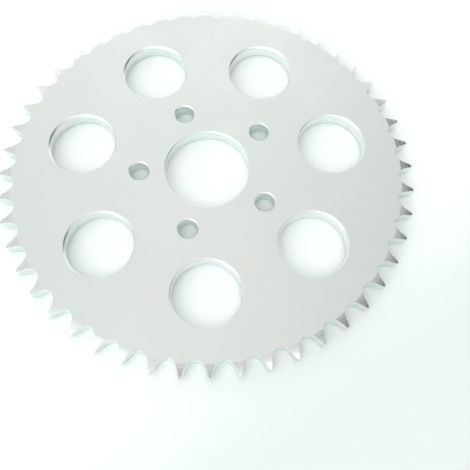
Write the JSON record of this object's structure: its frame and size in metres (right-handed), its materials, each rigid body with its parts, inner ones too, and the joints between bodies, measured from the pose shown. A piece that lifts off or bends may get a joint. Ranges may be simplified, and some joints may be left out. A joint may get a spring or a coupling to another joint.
{
  "type": "rear sprocket",
  "caption": "Flat one-piece steel roller chain sprocket with a toothed rim, a centre bore, a bolt circle and round lightening holes.",
  "frame": {"origin": "centre of the bore on the hub side face, which is the face the sprocket rests on", "axes": "+Z along the bore's axis, from the hub side face to the outer face; +X through a tooth's centre and a bolt hole's centre"},
  "size_m": [0.2518, 0.2518, 0.0087],
  "materials": {
    "zinc_plated_steel": "bright zinc plate over ground and machined steel, satin"
  },
  "bodies": {
    "root": {"sprocket": "zinc_plated_steel"}
  },
  "joints": []
}
